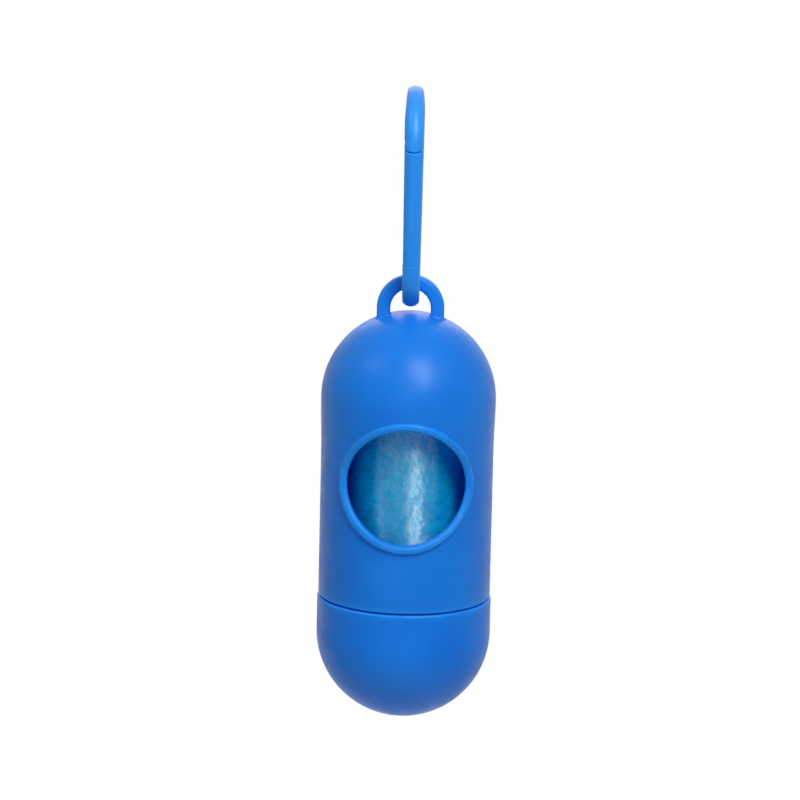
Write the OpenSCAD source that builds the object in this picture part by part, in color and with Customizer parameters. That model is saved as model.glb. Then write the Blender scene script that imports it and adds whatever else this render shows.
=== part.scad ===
// Capsule case for a roll of dog waste bags, hanging by its loop from a sprung plastic hook.
// +Z is up and -Y is the front, where the window is. The origin is the centre of the hook's top bow.

/* [Case] */
// Outside diameter of the dome
case_d = 40; // [38:0.5:44]
// How far the straight wall stands in from the dome's side
waist_inset = 0.25; // [0.1:0.05:0.6]
// Height below the dome over which the wall draws in
waist_blend_h = 12; // [8:0.5:20]
// Thickness of the case's wall
wall = 1.6; // [1.2:0.1:2]
// Height from the dome's centre down to the seam with the cap
straight_h = 46.1; // [42:0.1:56]

/* [Window] */
// Diameter of the round window that the bags are pulled through
window_d = 26.8; // [22:0.1:29]
// Width of the raised collar around the window
collar_w = 1.85; // [1.2:0.05:2.6]
// How far the collar stands out from the straight wall
collar_proud = 0.9; // [0.4:0.1:1.6]
// Height from the dome's centre down to the window's centre
window_drop = 16.9; // [16:0.1:24]

/* [Hanging loop] */
// Clear width inside the loop
loop_gap = 9.2; // [9:0.1:12]
// Width of the loop's band, seen from the front
loop_band = 3.1; // [2.4:0.1:4]
// Thickness of the loop, front to back
loop_t = 3; // [2.4:0.1:4]
// Radius of the loop's long edges
loop_edge_r = 0.8; // [0.4:0.1:1.1]
// Height of the arch's centre above the top of the dome
loop_rise = 0.95; // [0.8:0.05:3]

/* [Neck and cap] */
// Height of the threaded neck below the seam
neck_h = 8; // [7.4:0.1:8.4]
// How far the cap's side stands out from the straight wall
cap_step = 0.25; // [0:0.05:0.4]
// Thickness of the neck's wall
neck_wall = 1.5; // [1.1:0.1:1.8]
// Thickness of the cap's wall
cap_wall = 1.4; // [1.1:0.1:1.8]
// Height of the cap's straight skirt, from the seam to the round bottom
skirt_h = 8.6; // [8.5:0.1:12]
// Gap at the seam between the case's shoulder and the cap's rim
seam_gap = 0.35; // [0.2:0.05:0.6]
// Radius of the cap's rounded rim
rim_r = 0.5; // [0.3:0.05:0.6]
// Rise of the thread in one turn
thread_lead = 4; // [3.6:0.1:4.4]
// How far a thread ridge stands out from its wall
thread_h = 0.75; // [0.6:0.05:0.9]
// Height of a thread ridge along its crest
thread_crest = 0.8; // [0.6:0.05:0.95]
// Turns of the ridge on the neck
neck_turns = 1.25; // [1:0.05:1.3]
// Turns of the ridge in the cap
cap_turns = 1; // [0.75:0.05:1.1]
// Clearance between a ridge's crest and the other part's wall
thread_play = 0.25; // [0.15:0.05:0.35]

/* [Hook] */
// Overall height of the hook
hook_h = 50.6; // [46:0.1:60]
// Outside width of the hook at its top bow, seen from the side
hook_top_w = 25; // [23:0.5:30]
// Outside width of the hook at its bottom bow
hook_bottom_w = 19; // [17.5:0.5:22]
// Thickness of the hook's bar from its inner to its outer face
bar_t = 3.6; // [3.4:0.05:3.8]
// Radius of the bar's inner edges
bar_edge_r = 1; // [0.8:0.05:1.1]
// Half height of the tall ellipse that narrows the bar towards the top of the hook
bar_top_h = 10.2; // [8:0.2:12]
// Width of the bar at the nose, where it is widest
bar_nose_w = 4.4; // [4.1:0.05:4.5]
// Width of the bar at the bottom of the hook
bar_foot_w = 3.85; // [3.6:0.05:3.9]
// Gap between the loop's arch and the bar that it hangs on
hang_gap = 0.55; // [0.5:0.05:0.7]

/* [Gate] */
// How far the nose's end stands above the end of the top bow
nose_rise = 0.85; // [0.4:0.05:1.4]
// Thickness of the nose's lip, in front of the gate's tongue
lip_t = 1.75; // [1.5:0.05:2]
// Height of the gate's tongue behind the lip
tongue_h = 1.8; // [1.2:0.1:2.4]
// Height of the hinge pin above the start of the bottom bow
pin_rise = 4.3; // [3:0.1:6]
// Distance of the pin's centre from the bar's inner face
pin_depth = 1.4; // [1.3:0.05:1.5]
// Diameter of the hinge pin
pin_d = 1; // [0.8:0.05:1.1]
// Radius of the gate's round lower end, about the pin
knuckle_r = 1.75; // [1.6:0.05:1.9]
// Clearance between the hook's round lug and the gate's web
lug_play = 0.2; // [0.1:0.02:0.3]
// How far the lug's top is cut down to a flat for the spring's foot
lug_cut = 0.25; // [0.15:0.05:0.35]
// Thickness of the lug, side to side
lug_w = 1.8; // [1.4:0.1:2]
// Thickness of the gate's web in front of its channel
web_t = 0.8; // [0.7:0.05:0.9]
// Length of the gate's channel above the pin
channel_h = 12; // [8:0.5:18]
// Thickness of the steel leaf spring
leaf_t = 0.3; // [0.2:0.02:0.36]
// Gap between the gate and the nose, at the gate's top and above its tongue
gate_gap = 0.3; // [0.2:0.05:0.4]
// Gap between the gate's lower end and the hook
foot_gap = 0.2; // [0.15:0.05:0.4]
// Clearance at each side of the lug, of the spring and around the tongue
gate_play = 0.12; // [0.08:0.01:0.2]
// Radial clearance of the pin in the gate
pin_play = 0.05; // [0.02:0.01:0.08]

/* [Bag roll] */
// Diameter of the roll
roll_d = 27; // [24:0.5:28.5]
// Length of the roll
roll_l = 64; // [56:1:70]
// Outside diameter of the cardboard core
core_d = 13; // [10:0.5:16]
// Thickness of the core's wall
core_wall = 1; // [0.6:0.1:1.4]
// How far the core's ends lie inside the roll's ends
core_inset = 0.5; // [0:0.1:2]
// Clearance between the core and the roll
core_play = 0.1; // [0.05:0.01:0.2]
// Thickness of the leading bag's wraps
lead_t = 0.3; // [0.2:0.05:0.5]
// Gap between the roll and the cap that it stands in
seat_gap = 0.3; // [0.2:0.05:0.5]

/* [Hidden] */
$fn = 96;

plastic_colour = "#2168c4";
hook_colour = "#2e86dd";
film_colour = "#3f9fce";
card_colour = "#b59a72";
steel_colour = "#b9bcc0";

past = 1;            // how far a cutting solid runs past what it cuts
bury = 0.4;          // how far a ridge, a leg or a bar is sunk into what carries it
bar_relief = 0.04;   // how much slimmer the straight bars are than the bows, on each side
bar_over = 0.15;      // how far the bar's section runs past the sides that cut it
gate_side_in = 0.06; // how far the gate's sides stand in from the hook's
top_over = 2.7;      // how far above the hook's top the ellipse that narrows the bar ends
top_steps = 14;      // flats on each side of that ellipse
thread_steps = 36;   // flats in one turn of a thread ridge
thread_fade = 3;     // flats over which a ridge's end rises from its wall
flank_play = 0.18;   // clearance between the flanks of the two ridges
ridge_end = 1.2;     // height of the neck's lowest ridge above the neck's end
tail_deg = 70;       // turn of the leading bag's loose end
tail_t = 0.12;       // thickness of the loose end
tail_from = 60;      // where the loose end starts, away from the window
lead_gap = 0.03;     // air between the roll and the leading bag
lead_inset = 0.4;    // how far the leading bag's ends lie inside the roll's ends
pin_inset = 0.1;     // how far the pin's ends lie below the gate's sides

// Hook: a large bow above a small one, joined by their common tangents
section_w = bar_nose_w + 2 * bar_over;
top_r = hook_top_w / 2;
foot_r = hook_bottom_w / 2;
top_in_r = top_r - bar_t;
foot_in_r = foot_r - bar_t;
bow_drop = hook_h - top_r - foot_r;
tilt = asin((top_r - foot_r) / bow_drop);
side_l = bow_drop * cos(tilt);
foot_z = -bow_drop;

// Gate: along the front tangent, y runs up from the end of the top bow and x out from the bow's centre
pin_x = top_in_r + pin_depth;
pin_y = -side_l + pin_rise;
gate_end_y = pin_y - knuckle_r;
gate_top_y = nose_rise - gate_gap;
web_x = top_in_r + bar_t - web_t;
lip_x = top_in_r + bar_t - lip_t;
channel_w = lug_w + 2 * gate_play;
lug_r = web_x - pin_x - lug_play;
lug_flat = lug_r - lug_cut;
leaf_foot_y = pin_y + lug_flat + gate_play;
leaf_bend_r = 0.3;

// Case
case_r = case_d / 2;
waist_r = case_r - waist_inset;
loop_in_r = loop_gap / 2;
loop_out_r = loop_in_r + loop_band;
loop_z = foot_z - foot_in_r + hang_gap - loop_in_r;
dome_z = loop_z - loop_rise - case_r;
seam_z = dome_z - straight_h;
window_z = dome_z - window_drop;
window_r = window_d / 2;
collar_r = window_r + collar_w;
leg_h = loop_rise + case_r - sqrt(pow(case_r, 2) - pow(loop_out_r, 2)) + bury;

// Neck and cap
cap_r = waist_r + cap_step;
cap_in_r = cap_r - cap_wall;
neck_r = cap_in_r - thread_play - thread_h;
neck_in_r = neck_r - neck_wall;
cap_z = seam_z - skirt_h;
rim_z = seam_z - seam_gap;
thread_root = 2 * thread_crest;
flank_slope = (thread_root - thread_crest) / 2 / thread_h;
ridge_offset = thread_crest + flank_slope * (thread_h - thread_play) + flank_play;
neck_ridge_z = seam_z - neck_h + ridge_end;
cap_ridge_z = neck_ridge_z + ridge_offset;

// Roll: its lower edge stands in the cap's round bottom
roll_r = roll_d / 2;
core_r = core_d / 2;
roll_z = cap_z - sqrt(pow(cap_in_r - seat_gap, 2) - pow(roll_r, 2));

// The plane of the hook: x runs to the back, y up and z to the right
module side_plane() {
    rotate([90, 0, 90]) children();
}

// The front tangent of the hook, in that plane
module gate_plane() {
    side_plane() mirror([1, 0, 0]) rotate([0, 0, -tilt]) children();
}

// The bar's section, slimmed by inset: a flat inner face near x = 0 and a round outer one
module bar_section(inset = 0) {
    r = section_w / 2 - inset;
    crown_x = bar_t - section_w / 2;
    edge_x = inset + bar_edge_r;
    intersection() {
        translate([crown_x, 0]) circle(r);
        translate([crown_x, -r]) square([r, 2 * r]);
    }
    translate([edge_x, -r]) square([crown_x - edge_x, 2 * r]);
    translate([inset, bar_edge_r - r]) square([bar_edge_r, 2 * (r - bar_edge_r)]);
    for (s = [-1, 1]) translate([edge_x, s * (r - bar_edge_r)]) circle(bar_edge_r);
}

// The sides that cut the bar to its width at each height
module side_envelope(inset = 0) {
    nose = bar_nose_w / 2 - inset;
    foot = bar_foot_w / 2 - inset;
    narrowing = [for (i = [0:top_steps]) [
        nose * cos(i * 90 / top_steps),
        top_r + top_over + bar_top_h * (sin(i * 90 / top_steps) - 1)
    ]];
    right = concat([[foot, foot_z - foot_r - past]], narrowing);
    left = [for (i = [len(right) - 2:-1:0]) [-right[i][0], right[i][1]]];
    rotate([90, 0, 0]) linear_extrude(2 * hook_top_w, center = true) polygon(concat(right, left));
}

module bow(in_r, from_deg, turn_deg) {
    rotate([0, 0, from_deg]) rotate_extrude(angle = turn_deg) translate([in_r, 0]) bar_section();
}

// A straight length of the bar from y = bottom_y up to top_y, a shade slimmer than the bows
module straight_bar(bottom_y, top_y) {
    translate([top_in_r, top_y, 0])
        rotate([90, 0, 0]) linear_extrude(top_y - bottom_y) bar_section(bar_relief);
}

module box(low, high) {
    translate(low) cube(high - low);
}

// The lug that carries the pin, with the flat that the spring's foot bears on
module hinge_lug() {
    difference() {
        union() {
            translate([pin_x, pin_y, -lug_w / 2]) cylinder(h = lug_w, r = lug_r);
            box([pin_x - lug_r, gate_end_y - past, -lug_w / 2], [pin_x + lug_r, pin_y, lug_w / 2]);
        }
        box([pin_x - lug_r - past, pin_y + lug_flat, -lug_w], [pin_x + lug_r + past, pin_y + lug_r + past, lug_w]);
        translate([pin_x, pin_y, -lug_w]) cylinder(h = 2 * lug_w, d = pin_d);
    }
}

module carabiner_frame() {
    shoulder_y = gate_end_y - foot_gap;
    pocket_y = nose_rise + tongue_h + gate_gap;
    color(hook_colour) union() {
        intersection() {
            union() {
                difference() {
                    side_plane() bow(top_in_r, -tilt, 180 + 2 * tilt);
                    gate_plane() {
                        box([0, -past, -bar_nose_w], [top_r + past, nose_rise, bar_nose_w]);
                        box([0, -past, -bar_nose_w], [lip_x, pocket_y, bar_nose_w]);
                    }
                }
                side_plane() rotate([0, 0, -tilt]) straight_bar(-side_l - bury, bury);
                side_plane() translate([0, foot_z, 0]) bow(foot_in_r, 180 + tilt, 180 - 2 * tilt);
                gate_plane() straight_bar(-side_l - bury, shoulder_y);
            }
            side_envelope();
        }
        gate_plane() hinge_lug();
    }
}

module carabiner_gate() {
    tongue_w = bar_foot_w - 2 * gate_play;
    tongue_x = top_in_r + gate_play;
    color(hook_colour) difference() {
        intersection() {
            gate_plane() union() {
                straight_bar(pin_y, gate_top_y);
                intersection() {
                    straight_bar(gate_end_y, pin_y);
                    union() {
                        translate([pin_x, pin_y, -bar_nose_w]) cylinder(h = 2 * bar_nose_w, r = knuckle_r);
                        box([pin_x, gate_end_y, -bar_nose_w], [top_r, pin_y, bar_nose_w]);
                    }
                }
                box(
                    [tongue_x, gate_top_y - past, -tongue_w / 2],
                    [lip_x - gate_play, nose_rise + tongue_h, tongue_w / 2]
                );
            }
            side_envelope(gate_side_in);
        }
        gate_plane() {
            box([0, gate_end_y - past, -channel_w / 2], [web_x, pin_y + channel_h, channel_w / 2]);
            translate([pin_x, pin_y, -bar_nose_w]) cylinder(h = 2 * bar_nose_w, r = pin_d / 2 + pin_play);
        }
    }
}

module gate_pin() {
    pin_l = bar_foot_w - 2 * pin_inset;
    color(steel_colour) gate_plane()
        translate([pin_x, pin_y, -pin_l / 2]) cylinder(h = pin_l, d = pin_d);
}

// A leaf along the channel's floor, with a foot that lies on the lug's flat
module gate_spring() {
    leaf_w = lug_w;
    bend_x = web_x - leaf_t - leaf_bend_r;
    bend_y = leaf_foot_y + leaf_t + leaf_bend_r;
    color(steel_colour) gate_plane() union() {
        box([web_x - leaf_t, bend_y, -leaf_w / 2], [web_x, pin_y + channel_h, leaf_w / 2]);
        box([pin_x - lug_flat, leaf_foot_y, -leaf_w / 2], [bend_x, leaf_foot_y + leaf_t, leaf_w / 2]);
        translate([bend_x, bend_y, -leaf_w / 2]) rotate([0, 0, -90])
            rotate_extrude(angle = 90) translate([leaf_bend_r, 0]) square([leaf_t, leaf_w]);
    }
}

// The inside or outside of the case, drawn in by inset, above the points of its lower end
module case_form(inset, low) {
    rotate_extrude() {
        translate([0, dome_z]) intersection() {
            circle(case_r - inset);
            square(case_r);
        }
        polygon(concat(low, [
            [waist_r - inset, dome_z - waist_blend_h],
            [case_r - inset, dome_z],
            [0, dome_z]
        ]));
    }
}

module case_cavity() {
    step_h = waist_r - wall - neck_in_r;
    end_z = seam_z - neck_h - past;
    case_form(wall, [
        [0, end_z],
        [neck_in_r, end_z],
        [neck_in_r, seam_z],
        [waist_r - wall, seam_z + step_h]
    ]);
}

module loop_section() {
    flat = loop_band - 2 * loop_edge_r;
    translate([loop_edge_r, -loop_t / 2]) square([flat, loop_t]);
    translate([0, loop_edge_r - loop_t / 2]) square([loop_band, loop_t - 2 * loop_edge_r]);
    for (x = [loop_edge_r, loop_band - loop_edge_r], s = [-1, 1])
        translate([x, s * (loop_t / 2 - loop_edge_r)]) circle(loop_edge_r);
}

// An arch on two legs that run into the dome
module hanging_loop() {
    translate([0, 0, loop_z]) rotate([90, 0, 0]) {
        rotate_extrude(angle = 180) translate([loop_in_r, 0]) loop_section();
        for (s = [0, 1]) mirror([s, 0, 0])
            rotate([90, 0, 0]) linear_extrude(leg_h) translate([loop_in_r, 0]) loop_section();
    }
}

// The collar's face follows the case's wall
module window_collar() {
    intersection() {
        translate([0, 0, window_z]) rotate([90, 0, 0]) cylinder(h = case_r + collar_proud, r = collar_r);
        translate([0, 0, window_z - collar_r]) cylinder(h = 2 * collar_r, r = waist_r + collar_proud);
    }
}

// A right-handed helical ridge that starts at z = 0 and stands out from its wall's radius to crest_r
module thread_ridge(wall_r, crest_r, turns) {
    out = sign(crest_r - wall_r);
    steps = round(turns * thread_steps);
    points = [
        for (i = [0:steps])
            let (
                a = i * 360 / thread_steps,
                z = i * thread_lead / thread_steps,
                rise = max(0.2, min(1, i / thread_fade, (steps - i) / thread_fade)),
                root_r = wall_r - out * bury,
                r = root_r + (crest_r - root_r) * rise
            )
            for (p = [[root_r, -thread_root], [r, -thread_crest], [r, thread_crest], [root_r, thread_root]])
                [p[0] * cos(a), p[0] * sin(a), z + p[1] / 2]
    ];
    sides = [
        for (i = [0:steps - 1], j = [0:3])
            let (a = 4 * i + j, b = 4 * i + (j + 1) % 4)
            for (f = [[a, a + 4, b], [b, a + 4, b + 4]])
                out < 0 ? f : [f[0], f[2], f[1]]
    ];
    last = 4 * steps;
    ends = [[0, 1, 2], [0, 2, 3], [last + 2, last + 1, last], [last + 3, last + 2, last]];
    polyhedron(points, concat(sides, [for (f = ends) out < 0 ? f : [f[2], f[1], f[0]]]));
}

module body_shell() {
    color(plastic_colour) union() {
        difference() {
            union() {
                case_form(0, [[0, seam_z], [waist_r, seam_z]]);
                translate([0, 0, seam_z - neck_h]) cylinder(h = neck_h + past, r = neck_r);
                window_collar();
                hanging_loop();
            }
            case_cavity();
            translate([0, 0, window_z]) rotate([90, 0, 0]) cylinder(h = case_d, r = window_r);
        }
        translate([0, 0, neck_ridge_z]) thread_ridge(neck_r, neck_r + thread_h, neck_turns);
    }
}

module end_cap() {
    color(plastic_colour) union() {
        difference() {
            union() {
                translate([0, 0, cap_z]) rotate_extrude() intersection() {
                    circle(cap_r);
                    translate([0, -cap_r]) square(cap_r);
                }
                translate([0, 0, cap_z]) cylinder(h = rim_z - rim_r - cap_z, r = cap_r);
                translate([0, 0, cap_z]) cylinder(h = rim_z - cap_z, r = cap_r - rim_r);
                translate([0, 0, rim_z - rim_r]) rotate_extrude() translate([cap_r - rim_r, 0]) circle(rim_r);
            }
            translate([0, 0, cap_z]) sphere(cap_in_r);
            translate([0, 0, cap_z]) cylinder(h = skirt_h + past, r = cap_in_r);
        }
        translate([0, 0, cap_ridge_z]) thread_ridge(cap_in_r, cap_in_r - thread_h, cap_turns);
    }
}

module tube(h, r_out, r_in) {
    difference() {
        cylinder(h = h, r = r_out);
        translate([0, 0, -past]) cylinder(h = h + 2 * past, r = r_in);
    }
}

module roll_core() {
    color(card_colour) translate([0, 0, roll_z + core_inset])
        tube(roll_l - 2 * core_inset, core_r, core_r - core_wall);
}

module bag_roll() {
    color(film_colour) translate([0, 0, roll_z])
        tube(roll_l, roll_r - lead_t - lead_gap, core_r + core_play);
}

// The outermost bag: its closed wraps, and its loose end lying on them
module leading_bag() {
    lead_l = roll_l - 2 * lead_inset;
    color(film_colour) translate([0, 0, roll_z + lead_inset]) union() {
        tube(lead_l, roll_r, roll_r - lead_t);
        rotate([0, 0, tail_from]) rotate_extrude(angle = tail_deg)
            translate([roll_r - lead_t / 2, 0]) square([lead_t / 2 + tail_t, lead_l]);
    }
}

carabiner_frame();
carabiner_gate();
gate_pin();
gate_spring();
body_shell();
end_cap();
roll_core();
bag_roll();
leading_bag();
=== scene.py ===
import math

import bmesh
import bpy
import numpy as np
from mathutils import Matrix, Vector


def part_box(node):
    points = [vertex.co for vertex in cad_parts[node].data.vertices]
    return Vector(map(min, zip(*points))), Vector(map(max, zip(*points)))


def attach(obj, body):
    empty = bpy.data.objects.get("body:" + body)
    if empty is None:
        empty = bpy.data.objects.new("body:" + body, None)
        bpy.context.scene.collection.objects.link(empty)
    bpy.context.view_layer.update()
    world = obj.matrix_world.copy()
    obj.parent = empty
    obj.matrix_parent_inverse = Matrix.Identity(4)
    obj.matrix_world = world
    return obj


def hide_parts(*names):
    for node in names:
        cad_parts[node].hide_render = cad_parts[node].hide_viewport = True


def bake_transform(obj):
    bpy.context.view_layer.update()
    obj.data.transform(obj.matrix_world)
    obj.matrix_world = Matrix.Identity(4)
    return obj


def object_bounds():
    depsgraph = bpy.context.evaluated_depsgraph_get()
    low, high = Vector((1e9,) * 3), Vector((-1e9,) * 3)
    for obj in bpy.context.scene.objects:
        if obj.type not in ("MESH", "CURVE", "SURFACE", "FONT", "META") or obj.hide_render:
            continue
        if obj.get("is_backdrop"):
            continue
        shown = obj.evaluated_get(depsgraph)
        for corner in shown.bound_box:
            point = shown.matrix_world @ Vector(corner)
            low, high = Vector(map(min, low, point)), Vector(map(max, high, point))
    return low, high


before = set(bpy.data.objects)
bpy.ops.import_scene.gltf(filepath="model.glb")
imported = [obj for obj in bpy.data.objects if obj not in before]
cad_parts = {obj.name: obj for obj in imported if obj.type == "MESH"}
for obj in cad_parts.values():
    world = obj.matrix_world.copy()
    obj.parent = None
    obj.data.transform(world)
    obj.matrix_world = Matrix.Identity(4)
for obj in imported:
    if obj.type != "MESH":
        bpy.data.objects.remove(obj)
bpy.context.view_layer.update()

mm = 0.001
print("packed frame loaded")


# Pieces are drawn in millimetres and brought to metres by settle()
def drawMesh(name, points, faces):
    mesh = bpy.data.meshes.new(name)
    mesh.from_pydata([tuple(p) for p in points], [], faces)
    mesh.update()
    piece = bpy.data.objects.new(name, mesh)
    bpy.context.scene.collection.objects.link(piece)
    return piece


def bakeModifiers(piece):
    graph = bpy.context.evaluated_depsgraph_get()
    mesh = bpy.data.meshes.new_from_object(piece.evaluated_get(graph), depsgraph=graph)
    piece.modifiers.clear()
    piece.data = mesh
    return piece


def closeUp(piece, gap=0.002):
    work = bmesh.new()
    work.from_mesh(piece.data)
    bmesh.ops.remove_doubles(work, verts=work.verts, dist=gap)
    bmesh.ops.recalc_face_normals(work, faces=work.faces)
    work.to_mesh(piece.data)
    work.free()
    return piece


def joinPieces(name, parts):
    work = bmesh.new()
    for part in parts:
        work.from_mesh(part.data)
    mesh = bpy.data.meshes.new(name)
    work.to_mesh(mesh)
    work.free()
    piece = bpy.data.objects.new(name, mesh)
    bpy.context.scene.collection.objects.link(piece)
    for part in parts:
        bpy.data.objects.remove(part)
    return piece


def cutAway(piece, tools):
    for tool in tools:
        cut = piece.modifiers.new("cut", "BOOLEAN")
        cut.operation = "DIFFERENCE"
        cut.solver = "EXACT"
        cut.object = tool
    bakeModifiers(piece)
    for tool in tools:
        bpy.data.objects.remove(tool)
    return piece


# One skin over parts that run into each other, with the small radii of a mould at every edge
def fuse(piece, voxel, passes):
    skin = piece.modifiers.new("skin", "REMESH")
    skin.mode = "VOXEL"
    skin.voxel_size = voxel
    ease = piece.modifiers.new("ease", "SMOOTH")
    ease.factor = 0.5
    ease.iterations = passes
    return bakeModifiers(piece)


def readValues(items, name, width, kind=np.float64):
    values = np.empty(len(items) * width, dtype=kind)
    items.foreach_get(name, values)
    return values.reshape(-1, width)


# Stores how tightly each point is bent outwards (a ridge) and inwards (a hollow), from 0 to 1, as masks for a
# painted highlight on ridges and painted shade in hollows
def markEdges(piece, faint=0.35, full=1.6):
    mesh = piece.data
    count = len(mesh.vertices)
    spots = readValues(mesh.vertices, "co", 3)
    normals = readValues(mesh.vertices, "normal", 3)
    first, second = readValues(mesh.edges, "vertices", 2, np.int32).T
    span = spots[second] - spots[first]
    length = np.maximum(np.linalg.norm(span, axis=1), 1e-4)
    most = np.full(count, -1e9)
    least = np.full(count, 1e9)
    for here, sign in ((first, 1), (second, -1)):
        turn = -2 * np.einsum("ij,ij->i", span * sign, normals[here]) / length**2
        np.maximum.at(most, here, turn)
        np.minimum.at(least, here, turn)
    bend = np.where(np.abs(most) > np.abs(least), most, least)
    for step in range(2):
        total = np.zeros(count)
        links = np.zeros(count)
        for here, there in ((first, second), (second, first)):
            np.add.at(total, here, bend[there])
            np.add.at(links, here, 1)
        bend = 0.5 * bend + 0.5 * total / np.maximum(links, 1)
    for name, value in (("ridge", bend), ("shaded", -bend)):
        layer = mesh.attributes.new(name, "FLOAT", "POINT")
        marked = np.clip((value - faint) / (full - faint), 0, 1)
        layer.data.foreach_set("value", marked.astype(np.float32))


# A piece rides on one body, or, when bend ends are given, is only baked in place
def settle(piece, body, finish, stands, bendTo=()):
    mesh = piece.data
    mesh.transform(Matrix.Scale(mm, 4))
    mesh.polygons.foreach_set("use_smooth", [True] * len(mesh.polygons))
    mesh.materials.clear()
    mesh.materials.append(finish)
    mesh.update()
    if bendTo:
        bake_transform(piece)
    else:
        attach(piece, body)
    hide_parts(*stands)
    print(piece.name, len(mesh.polygons), "faces")


# A CAD node's lowest and highest corners in millimetres
def cadCorners(node):
    return [[round(value / mm, 3) for value in corner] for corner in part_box(node)]


def circlePoints(centre, radius, fromDeg, toDeg, steps):
    points = []
    for i in range(steps + 1):
        a = math.radians(fromDeg + (toDeg - fromDeg) * i / steps)
        points.append((centre[0] + radius * math.cos(a), centre[1] + radius * math.sin(a)))
    return points


# Skins a row of rings, and closes it with a face at both ends or back to its first ring
def skinRings(rings, turned, closed=False):
    faces = []
    if not closed:
        faces = [list(reversed(rings[0])), rings[-1]] if turned else [rings[0], list(reversed(rings[-1]))]
    following = rings[1:] + (rings[:1] if closed else [])
    for a, b in zip(rings, following):
        for k in range(len(a)):
            n = (k + 1) % len(a)
            faces.append([a[k], a[n], b[n], b[k]] if turned else [a[k], b[k], b[n], a[n]])
    return faces


# Helpers for node trees, where a value is a plain one or another node's socket
def feed(tree, node, values):
    for key, value in values.items():
        if isinstance(value, bpy.types.NodeSocket):
            tree.links.new(value, node.inputs[key])
        else:
            node.inputs[key].default_value = value
    return node


def addNode(tree, kind, values=None, **settings):
    node = tree.nodes.new(kind)
    for key, value in settings.items():
        setattr(node, key, value)
    return feed(tree, node, values or {})


# A group's inputs by name, each with its starting number or its kind of socket
def newGroup(name, kind, inputs, outputs):
    tree = bpy.data.node_groups.new(name, kind)
    for label, value in inputs.items():
        socketType = value if isinstance(value, str) else {int: "Int", float: "Float"}[type(value)]
        socket = tree.interface.new_socket(label, in_out="INPUT", socket_type="NodeSocket" + socketType)
        if socketType != value:
            socket.default_value = value
    for label, socketType in outputs.items():
        tree.interface.new_socket(label, in_out="OUTPUT", socket_type="NodeSocket" + socketType)
    return tree, tree.nodes.new("NodeGroupInput").outputs, tree.nodes.new("NodeGroupOutput").inputs


# Columns of nodes from left to right, each one left of what it feeds
def tidyNodes(tree):
    depth = {node: 0 for node in tree.nodes}
    for step in range(len(tree.nodes)):
        for link in tree.links:
            depth[link.from_node] = max(depth[link.from_node], depth[link.to_node] + 1)
    rows = {}
    for node in tree.nodes:
        row = rows.get(depth[node], 0)
        rows[depth[node]] = row + 1
        node.location = (-230 * depth[node], -260 * row)


def mathNode(tree, operation, first, second=None):
    values = {0: first} if second is None else {0: first, 1: second}
    return addNode(tree, "ShaderNodeMath", values, operation=operation).outputs[0]


def mapRange(tree, value, source=(0.0, 1.0), target=(0.0, 1.0), smooth=False):
    ends = {"From Min": source[0], "From Max": source[1], "To Min": target[0], "To Max": target[1]}
    kind = "SMOOTHSTEP" if smooth else "LINEAR"
    node = addNode(tree, "ShaderNodeMapRange", {"Value": value, **ends}, interpolation_type=kind)
    return node.outputs["Result"]


def joinAxes(tree, values):
    return addNode(tree, "ShaderNodeCombineXYZ", values).outputs[0]


# Turns the input's line of points (x is the radius) about Z, and dents it a little
def buildTurnedForm():
    tree, given, result = newGroup(
        "turnedForm", "GeometryNodeTree",
        {"Profile": "Geometry", "Steps": 96, "Dent Depth": 0.0, "Dent Around": 0.1, "Dent Along": 0.1,
         "Seed": 0.0, "Surface": "Material"},
        {"Geometry": "Geometry"})
    size = addNode(tree, "GeometryNodeAttributeDomainSize", {"Geometry": given["Profile"]})
    rows = size.outputs["Point Count"]
    columns = mathNode(tree, "ADD", given["Steps"], 1)
    grid = addNode(tree, "GeometryNodeMeshGrid", {"Vertices X": columns, "Vertices Y": rows})
    index = addNode(tree, "GeometryNodeInputIndex").outputs[0]
    row = mathNode(tree, "MODULO", index, rows)
    column = mathNode(tree, "FLOOR", mathNode(tree, "DIVIDE", mathNode(tree, "ADD", index, 0.5), rows))
    share = mathNode(tree, "DIVIDE", column, given["Steps"])
    angle = mathNode(tree, "MULTIPLY", share, 2 * math.pi)
    spot = addNode(tree, "GeometryNodeInputPosition").outputs[0]
    sample = addNode(
        tree, "GeometryNodeSampleIndex", {"Geometry": given["Profile"], "Value": spot, "Index": row},
        data_type="FLOAT_VECTOR", domain="POINT")
    spin = addNode(
        tree, "ShaderNodeVectorRotate", {"Vector": sample.outputs["Value"], "Angle": angle},
        rotation_type="Z_AXIS")
    place = addNode(
        tree, "GeometryNodeSetPosition",
        {"Geometry": grid.outputs["Mesh"], "Position": spin.outputs["Vector"]})
    merge = addNode(tree, "GeometryNodeMergeByDistance", {"Geometry": place.outputs[0], "Distance": 0.002})
    return finishTree(tree, given, result, addDents(tree, given, merge.outputs[0]))


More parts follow.
